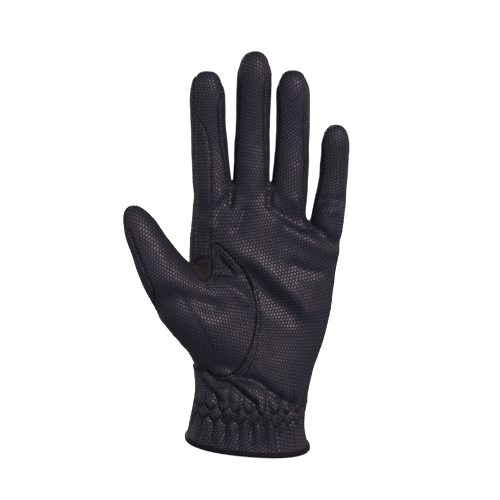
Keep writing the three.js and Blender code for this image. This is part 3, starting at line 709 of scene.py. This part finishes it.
def flat_map(obj, target, turn):
    """Unwraps obj into real metres, turned to lie like target, a point of the plane for each vertex."""
    mesh = obj.data
    mesh.uv_layers.new(name="pattern")
    bpy.ops.object.select_all(action="DESELECT")
    bpy.context.view_layer.objects.active = obj
    obj.select_set(True)
    bpy.ops.object.mode_set(mode="EDIT")
    bpy.ops.mesh.select_all(action="SELECT")
    bpy.ops.uv.unwrap(method="MINIMUM_STRETCH", iterations=11, margin=0)
    bpy.ops.object.mode_set(mode="OBJECT")
    layer = mesh.uv_layers["pattern"]
    uv = read(layer.data, "uv", 2)
    corner = read(mesh.loops, "vertex_index", 1, int)[:, 0]
    flat = uv[:, 0] + 1j * uv[:, 1]
    goal = (target[:, 0] + 1j * target[:, 1])[corner]
    a, b = flat - flat.mean(), goal - goal.mean()
    spin = (np.conj(a) * b).sum()
    spread = sum(f.area for f in mesh.polygons)
    start = np.array([f.loop_start for f in mesh.polygons])
    count = np.array([f.loop_total for f in mesh.polygons])
    follow = np.arange(len(flat)) + 1
    follow[start + count - 1] = start
    area = abs((flat.real * flat.imag[follow] - flat.imag * flat.real[follow]).sum() / 2)
    flat = a * (spin / abs(spin)) * np.sqrt(spread / area) * np.exp(1j * turn)
    layer.data.foreach_set("uv", np.stack([flat.real, flat.imag], 1).ravel())
    return spread


def panel(k, name, turn):
    chosen = np.nonzero(face_panel == k)[0]
    used = np.unique(np.concatenate([faces[i] for i in chosen]))
    place = np.full(len(rest), -1)
    place[used] = np.arange(len(used))
    mesh = mesh_of(name, rest[used] * MM, [tuple(place[list(faces[i])]) for i in chosen])
    obj = placed(name, mesh)
    across = rest[used, 1] if k > BACK else -rest[used, 0] if k == BACK else rest[used, 0]
    spread = flat_map(obj, np.stack([across, rest[used, 2]], 1) * MM, turn)
    mesh.vertices.foreach_set("co", (leather[used] * MM).ravel())
    # The crease values, a painted shade for the seams and the pinches, go along to the finish.
    mesh.attributes.new("crease", "FLOAT", "POINT").data.foreach_set("value", crease[used])
    smoothed(mesh)
    wall = obj.modifiers.new("wall", "SOLIDIFY")
    wall.thickness = WALL * MM
    wall.offset = -1
    wall.material_offset = 1
    print(f"{name}: {len(chosen)} faces, {spread * 1e6:.0f} square mm")
    return obj


made_panels = {name: panel(k, name, THUMB_SLANT * (k == THUMB)) for k, name in enumerate(PANELS)}

# %% [markdown]
# Stitches repeat, so Geometry Nodes make them. The script lays a thin wire of short edges on the
# leather, one edge for each stitch, and the tree sets a small rounded bit of thread on each edge.

# %% A tree that turns each edge into a stitch
def feed(tree, inputs, values):
    """Gives inputs of a node their values, or links where another node makes the value."""
    for key, value in values.items():
        if isinstance(value, bpy.types.NodeSocket):
            tree.links.new(value, inputs[key])
        else:
            inputs[key].default_value = value


def add(tree, kind, inputs=(), **settings):
    """A new node with its settings and inputs."""
    node = tree.nodes.new(kind)
    for key, value in settings.items():
        setattr(node, key, value)
    feed(tree, node.inputs, dict(inputs))
    return node


def calc(operation, *values):
    """A sum, in the tree that its values come from."""
    tree = next(value.id_data for value in values if isinstance(value, bpy.types.NodeSocket))
    return add(tree, "ShaderNodeMath", dict(enumerate(values)), operation=operation).outputs[0]


def stitch_tree():
    tree = bpy.data.node_groups.new("stitch on each edge", "GeometryNodeTree")
    for label, kind in (("Wire", "Geometry"), ("Thread radius", "Float"), ("Share of the edge", "Float"),
                        ("Thread", "Material")):
        tree.interface.new_socket(label, in_out="INPUT", socket_type="NodeSocket" + kind)
    tree.interface.new_socket("Stitches", in_out="OUTPUT", socket_type="NodeSocketGeometry")
    given = add(tree, "NodeGroupInput").outputs
    ends = add(tree, "GeometryNodeInputMeshEdgeVertices").outputs
    along = add(tree, "ShaderNodeVectorMath", {0: ends["Position 2"], 1: ends["Position 1"]},
                operation="SUBTRACT")
    kept = add(tree, "GeometryNodeCaptureAttribute", {"Geometry": given["Wire"]}, domain="EDGE")
    kept.capture_items.new("VECTOR", "Along")
    tree.links.new(along.outputs[0], kept.inputs["Along"])
    spots = add(tree, "GeometryNodeMeshToPoints", {"Mesh": kept.outputs["Geometry"]}, mode="EDGES")
    turn = add(tree, "FunctionNodeAlignRotationToVector", {"Vector": kept.outputs["Along"]}, axis="Z")
    length = add(tree, "ShaderNodeVectorMath", {0: kept.outputs["Along"]}, operation="LENGTH").outputs["Value"]
    half = calc("MULTIPLY", calc("MULTIPLY", length, given["Share of the edge"]), 0.5)
    size = add(tree, "ShaderNodeCombineXYZ", {0: given["Thread radius"], 1: given["Thread radius"], 2: half})
    bead = add(tree, "GeometryNodeMeshUVSphere", {"Segments": 6, "Rings": 6, "Radius": 1.0})
    placed = add(tree, "GeometryNodeInstanceOnPoints", {
        "Points": spots.outputs["Points"], "Instance": bead.outputs["Mesh"],
        "Rotation": turn.outputs["Rotation"], "Scale": size.outputs["Vector"]})
    real = add(tree, "GeometryNodeRealizeInstances", {"Geometry": placed.outputs["Instances"]})
    dyed = add(tree, "GeometryNodeSetMaterial", {
        "Geometry": real.outputs["Geometry"], "Material": given["Thread"]})
    add(tree, "NodeGroupOutput", {"Stitches": dyed.outputs["Geometry"]})
    return tree


STITCH_TREE = stitch_tree()


def sewn(name, wires, radius, share, material):
    """A row of stitches along lines of points in millimetres, one stitch between two points."""
    points = np.concatenate(wires)
    starts = np.cumsum([0] + [len(w) for w in wires])
    edges = [(s + i, s + i + 1) for w, s in zip(wires, starts) for i in range(len(w) - 1)]
    mesh = bpy.data.meshes.new(name + "_wire")
    mesh.from_pydata((points * MM).tolist(), edges, [])
    wire = placed(name + "_wire", mesh)
    modifier = wire.modifiers.new("stitches", "NODES")
    modifier.node_group = STITCH_TREE
    sockets = {s.name: s.identifier for s in STITCH_TREE.interface.items_tree if s.in_out == "INPUT"}
    modifier[sockets["Thread radius"]] = radius * MM
    modifier[sockets["Share of the edge"]] = share
    modifier[sockets["Thread"]] = material
    made = baked(wire)
    smoothed(made)
    print(f"{name}: {len(edges)} stitches, {len(made.polygons)} faces")
    return placed(name, made)


# %% [markdown]
# The finishes come next. Embossed synthetic leather is a thin film pressed with small domes in
# rows, every other row set off by half a step. Two overlapping grids of centres give them: a place
# belongs to the nearer centre, and its height grows with its distance from the cell's border. The
# domes are smoother than the grooves between them, and the film has a pink lustre. The grooves are
# also painted near black, a painted shade where shade would lie in them.

# %% Finishes
CELL, ROW, DOME = 0.0018, 0.0019, 0.25
EMBOSS_DEPTH, WANDER = 0.0002, 0.0003
DYE = (0.0145, 0.0185, 0.032), (0.0235, 0.024, 0.036)
# Painted shade: a near-black colour for the grooves between the domes, and a dark colour for the creases along
# the seams.
GROOVE_SHADE, SEAM_SHADE = (0.001, 0.001, 0.003), (0.003, 0.003, 0.006)
LUSTRE = (0.97, 0.8, 0.92, 1)


def finish_of(name, roughness=0.5, specular=0.5, sheen=0.0, sheen_tint=(1, 1, 1), sheen_roughness=0.4):
    material = bpy.data.materials.new(name)
    material.use_nodes = True
    shader = material.node_tree.nodes["Principled BSDF"].inputs
    feed(material.node_tree, shader, {
        "Roughness": roughness, "Specular IOR Level": specular, "Sheen Weight": sheen,
        "Sheen Tint": (*sheen_tint, 1), "Sheen Roughness": sheen_roughness})
    return material, material.node_tree, shader


def pattern(tree):
    """The place on a panel's flat map, in metres."""
    place = add(tree, "ShaderNodeUVMap", uv_map="pattern").outputs["UV"]
    return add(tree, "ShaderNodeSeparateXYZ", {0: place}).outputs


def bumped(tree, height, strength, distance, **under):
    return add(tree, "ShaderNodeBump", {
        "Height": height, "Strength": strength, "Distance": distance, **under}).outputs["Normal"]


def cells(tree, u, v):
    """Embossed cells: their height, 0 in the grooves and 1 on top, and a chance value for each cell."""
    grids = []
    for shift in (0.0, 0.5):
        across = calc("ADD", calc("DIVIDE", u, CELL), shift)
        up = calc("ADD", calc("DIVIDE", v, 2 * ROW), shift)
        a = calc("ABSOLUTE", calc("SUBTRACT", calc("FRACT", across), 0.5))
        b = calc("MULTIPLY", calc("SUBTRACT", calc("FRACT", up), 0.5), 2 * ROW / CELL)
        square = calc("ADD", calc("POWER", a, 2.0), calc("MULTIPLY", b, b))
        own = {0: calc("FLOOR", across), 1: calc("FLOOR", up), 2: shift}
        own = add(tree, "ShaderNodeCombineXYZ", own).outputs[0]
        grids.append((a, square, add(tree, "ShaderNodeTexWhiteNoise", {0: own}).outputs["Value"]))
    (a, near_a, chance_a), (b, near_b, chance_b) = grids
    second = calc("LESS_THAN", near_b, near_a)
    pick = lambda p, q: calc("ADD", p, calc("MULTIPLY", second, calc("SUBTRACT", q, p)))
    side = calc("SUBTRACT", 0.5, pick(a, b))
    apart = 2 * np.hypot(0.5, ROW / CELL)
    slant = calc("DIVIDE", calc("ABSOLUTE", calc("SUBTRACT", near_a, near_b)), apart)
    edge = calc("SMOOTH_MIN", side, slant, 0.12)
    rise = add(tree, "ShaderNodeMapRange", {"Value": edge, "From Max": DOME}, interpolation_type="SMOOTHSTEP")
    return rise.outputs["Result"], pick(chance_a, chance_b)


def noise_at(tree, scale, detail=2.0):
    place = add(tree, "ShaderNodeTexCoord").outputs["Object"]
    return add(tree, "ShaderNodeTexNoise", {"Vector": place, "Scale": scale, "Detail": detail}).outputs["Fac"]


def blend(tree, fac, a, b):
    a, b = ((*colour, 1) if isinstance(colour, tuple) else colour for colour in (a, b))
    return add(tree, "ShaderNodeMix", {0: fac, 6: a, 7: b}, data_type="RGBA").outputs[2]


def leather_finish():
    material, tree, shader = finish_of("embossed leather", 0.5, 0.6, 0.05, (0.9, 0.6, 0.5), 0.3)
    flat = pattern(tree)
    wander = noise_at(tree, 260.0)
    u = calc("ADD", flat["X"], calc("MULTIPLY", calc("SUBTRACT", wander, 0.5), WANDER))
    height, chance = cells(tree, u, flat["Y"])
    grain = noise_at(tree, 4200.0, 3.0)
    worn = noise_at(tree, 38.0, 4.0)
    uneven_dye = calc("MULTIPLY_ADD", chance, 0.35, calc("MULTIPLY", worn, 0.8))
    # Painted shade: the grooves take the near-black colour, by the dome's height.
    colour = blend(tree, height, GROOVE_SHADE, blend(tree, uneven_dye, *DYE))
    # Painted shade: the crease value darkens the colour towards the seam shade colour.
    seam = add(tree, "ShaderNodeAttribute", attribute_name="crease").outputs["Fac"]
    colour = blend(tree, calc("MULTIPLY", seam, 0.7), colour, SEAM_SHADE)
    rough = calc("SUBTRACT", 0.74, calc("MULTIPLY", height, 0.3))
    rough = calc("ADD", rough, calc("MULTIPLY", calc("SUBTRACT", uneven_dye, 0.55), 0.2))
    bump = bumped(tree, height, 0.9, EMBOSS_DEPTH, Normal=bumped(tree, grain, 0.35, 0.00005))
    feed(tree, shader, {"Base Color": colour, "Specular Tint": LUSTRE, "Roughness": rough, "Normal": bump})
    return material


def ribbed_finish(name, dark, light, rib, course, depth, sheen):
    """A knit: ribs along one way of the flat map and courses along the other."""
    material, tree, shader = finish_of(name, 0.85, 0.25, sheen, (0.8, 0.65, 0.55), 0.5)
    flat = pattern(tree)
    ribs = []
    for axis, step, share in (("Y", rib, 0.72), ("X", course, 0.28)):
        turn = calc("MULTIPLY", flat[axis], 2 * np.pi / step)
        ribs.append(calc("MULTIPLY", calc("MULTIPLY_ADD", calc("SINE", turn), 0.5, 0.5), share))
    height = calc("ADD", *ribs)
    fuzz = noise_at(tree, 2600.0, 3.0)
    colour = blend(tree, height, dark, light)
    colour = blend(tree, calc("MULTIPLY", fuzz, 0.35), colour, light)
    bump = bumped(tree, calc("ADD", height, calc("MULTIPLY", fuzz, 0.3)), 0.8, depth)
    feed(tree, shader, {"Base Color": colour, "Normal": bump})
    return material


def plain_finish(name, dark, light, scale, roughness, specular, depth):
    material, tree, shader = finish_of(name, roughness, specular)
    grain = noise_at(tree, scale, 4.0)
    worn = noise_at(tree, 60.0, 3.0)
    feed(tree, shader, {"Base Color": blend(tree, worn, dark, light), "Normal": bumped(tree, grain, 0.5, depth),
                        "Roughness": calc("MULTIPLY_ADD", worn, 0.2, roughness - 0.1)})
    return material


leather_look = leather_finish()
knit_look = ribbed_finish("ribbed knit", (0.003, 0.003, 0.005), (0.042, 0.028, 0.034),
                          rib=0.0013, course=0.0008, depth=0.0004, sheen=0.05)
backing_look = ribbed_finish("knitted backing", (0.006, 0.006, 0.009), (0.022, 0.021, 0.028),
                             rib=0.0008, course=0.0006, depth=0.00008, sheen=0.2)
binding_look = plain_finish("binding", (0.008, 0.007, 0.013), (0.014, 0.012, 0.019),
                            scale=1500.0, roughness=0.65, specular=0.12, depth=0.00006)
thread_look = plain_finish("thread", (0.004, 0.004, 0.008), (0.009, 0.009, 0.014),
                           scale=5000.0, roughness=0.6, specular=0.3, depth=0.00004)
for name, obj in made_panels.items():
    obj.data.materials.append(knit_look if name == "quirk" else leather_look)
    obj.data.materials.append(backing_look)
print(len(bpy.data.materials), "materials with those of the packed model")

# %% [markdown]
# The stitches lie on the leather, so their lines are dropped onto it. The zigzag rows follow the
# heights that pinched the leather, with three stitches to a leg. The seam of the thumb has a
# straight row beside it on the palm.

# %% Rows of stitches
STITCH, THREAD_RADIUS = 1.9, 0.3
outer_tree = BVHTree.FromPolygons(leather.tolist(), faces)


def lifted(hits, lift):
    """The places of hits on the leather, lifted off it a little."""
    return np.array([place + normal * lift for place, normal, _, _ in hits if place is not None])


def laid_on(points, lift):
    """Points moved to the nearest place on the leather."""
    return lifted([outer_tree.find_nearest(point) for point in points.tolist()], lift)


def dropped_on_palm(line, lift):
    """A line seen from the palm side, dropped onto the leather."""
    hits = [outer_tree.ray_cast(Vector((x, -120, z - EYE * 120)), Vector((0, 1, EYE))) for x, z in line]
    return lifted(hits, lift)


def spaced(line, step):
    run = run_along(line)
    stops = np.linspace(0, run[-1], max(2, round(run[-1] / step) + 1))
    return np.stack([np.interp(stops, run, line[:, k]) for k in range(line.shape[1])], 1)


def beside(line, away):
    """A line moved sideways, to its left as it runs."""
    ahead = np.gradient(line, axis=0)
    ahead /= np.linalg.norm(ahead, axis=1)[:, None]
    return line + away * np.stack([-ahead[:, 1], ahead[:, 0]], 1)


def wrist_ring(name, steps):
    """Points of a zigzag row round the wrist, on the leather before its hem leans."""
    level, count, _ = ROWS[name]
    x, y = outline_at(level, 1440)[0].T
    share = np.unwrap(turn_share(x, y), period=1)
    wanted = row_start(name) + np.arange(count * steps + 1) / (count * steps)
    wanted = np.mod(wanted - share[0], 1) + share[0]
    rx, ry = np.interp(wanted, share, x), np.interp(wanted, share, y)
    height, _ = zigzag_height(name, turn_share(rx, ry))
    made = np.stack([rx, ry, height], 1)
    made[:, 2] += hem_lean(made, height)
    return made


zigzags = sewn("zigzag_stitches", [laid_on(wrist_ring(name, 6), 0.22) for name in ROWS],
               THREAD_RADIUS, 0.92, thread_look)
top_line = beside(thumb_seam[4:-10], 2.1)
web_line = rounded(np.array([(-17.2, 116.4), (-18.2, 108.0), (-18.4, 98.0)]), 6)
lines = [dropped_on_palm(spaced(line, STITCH), 0.12) for line in (top_line, web_line)]
topstitches = sewn("thumb_topstitches", lines, THREAD_RADIUS, 0.9, thread_look)

# %% [markdown]
# The hem is bound: a strip of thin leather is folded round the raw edge and sewn down. Its section
# is a rounded band, swept along the hem as the leather really runs.

# %% The binding of the hem
BAND_HEIGHT, BAND_THICKNESS, BAND_SINK = 3.3, 3.0, 1.25
STEPS, AROUND = 260, 14
left, right, depth = (float(size) for size in body_size(0.0))
across, deep = squircle(STEPS)
ring = np.insert(outline_at(0.0, STEPS)[0], 2, 0.0, 1)
ring[:, 2] = hem_lean(ring, 0)
out = np.stack([across / (right + left) * 2, deep / depth, np.zeros(STEPS)], 1)
out /= np.linalg.norm(out, axis=1)[:, None]
ring[:, :2] = laid_on(ring + (0, 0, 0.6), 0.0)[:, :2]
bulge, drop = squircle(AROUND, 0.8)
section = zip(bulge * BAND_THICKNESS / 2 - WALL / 2, (1 - drop) * BAND_HEIGHT / 2 - BAND_SINK)
wobble = 1 + 0.1 * waves(ring * (1, 1, 0) + (0, 0, 18), 6, 6, 6)
rails = [ring + out * (off * wobble)[:, None] + (0, 0, up) for off, up in section]
band_points = np.stack(rails, 1).reshape(-1, 3)
band_faces = ring_faces(STEPS, AROUND).reshape(-1, 4).tolist()
band = placed("hem_band", mesh_of("hem_band", band_points * MM, band_faces))
smoothed(band.data)
band.data.materials.append(binding_look)
print(f"binding of {len(band_faces)} faces")

# %% [markdown]
# Each leather panel now takes the name of the solid it stands for, and that solid is hidden, as is
# the imported binding. Nothing on a glove moves on a hinge, so every piece rides on the one body.

# %% Join the pieces to the imported model
for name, obj in made_panels.items():
    obj.name = name + "_leather" if name != "quirk" else "quirk_knit"
    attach(obj, "root")
    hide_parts(name)
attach(band, "root")
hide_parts("hem_binding")
for row in (zigzags, topstitches):
    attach(row, "root")

# %% [markdown]
# Last come the floor, the light and the camera. A dark glove needs large soft lights: the key on
# the right in front, a weaker one on the left, one for the back, and a warm one at each side that
# draws its edge. The floor is pure white and is kept out of the reflections, as a photographer does
# with black card. The long lens looks down a little, so the front of the hem sags.

# %% Floor, light and camera
FLOOR = leather[:, 2].min() - 1.6
TARGET = Vector((1.74, -6.0, 114.3)) * MM
RAISED = 7.0
DISTANCE = 1.3
VIEW_WIDTH = 0.290


def aimed(obj, place):
    obj.location = place
    obj.rotation_euler = (TARGET - place).to_track_quat("-Z", "Y").to_euler()


def area_light(name, place, size, power, colour):
    data = bpy.data.lights.new(name, "AREA")
    data.shape = "RECTANGLE"
    data.size, data.size_y = size
    data.energy = power
    data.color = colour
    aimed(placed(name, data), Vector(place))


area_light("key", (0.58, -1.1, 0.64), (0.45, 0.45), 12.6, (1.0, 0.95, 0.96))
area_light("back_key", (-0.2, 1.25, 0.5), (0.45, 0.45), 9.0, (1.0, 0.97, 0.97))
area_light("fill", (-1.0, -0.8, 0.6), (0.5, 0.9), 1.5, (0.9, 0.94, 1.0))
area_light("left_edge", (-0.95, 0.4, 0.3), (0.35, 0.9), 2.0, (1.0, 0.84, 0.74))
area_light("right_edge", (0.95, 0.4, 0.35), (0.35, 0.9), 1.8, (1.0, 0.84, 0.74))

disc = bpy.data.meshes.new("floor")
rim = [(60 * np.cos(t), 60 * np.sin(t), FLOOR * MM) for t in np.linspace(0, 2 * np.pi, 48, endpoint=False)]
disc.from_pydata(rim, [], [tuple(range(48))])
floor = placed("floor", disc)
floor_look, floor_tree, floor_shader = finish_of("pale floor", 0.9, 0.1)
feed(floor_tree, floor_shader, {
    "Base Color": (0.9, 0.9, 0.9, 1), "Emission Color": (1, 1, 1, 1), "Emission Strength": 1.0})
disc.materials.append(floor_look)
floor.visible_glossy = False
floor.visible_diffuse = False

world = bpy.data.worlds.new("studio")
stage.world = world
world.use_nodes = True
sky = world.node_tree.nodes["Background"].inputs
feed(world.node_tree, sky, {"Color": (0.82, 0.9, 1.0, 1), "Strength": 0.2})
stage.view_settings.view_transform = "Standard"

lens = bpy.data.cameras.new("camera")
lens.sensor_width = 36.0
lens.lens = 36.0 * DISTANCE / VIEW_WIDTH
lens.clip_start, lens.clip_end = 0.05, 200.0
camera = placed("camera", lens)
tilt = np.radians(RAISED)
aimed(camera, TARGET + Vector((0, -np.cos(tilt), np.sin(tilt))) * DISTANCE)
stage.camera = camera
print(f"lens of {lens.lens:.0f} mm, {DISTANCE} m away")
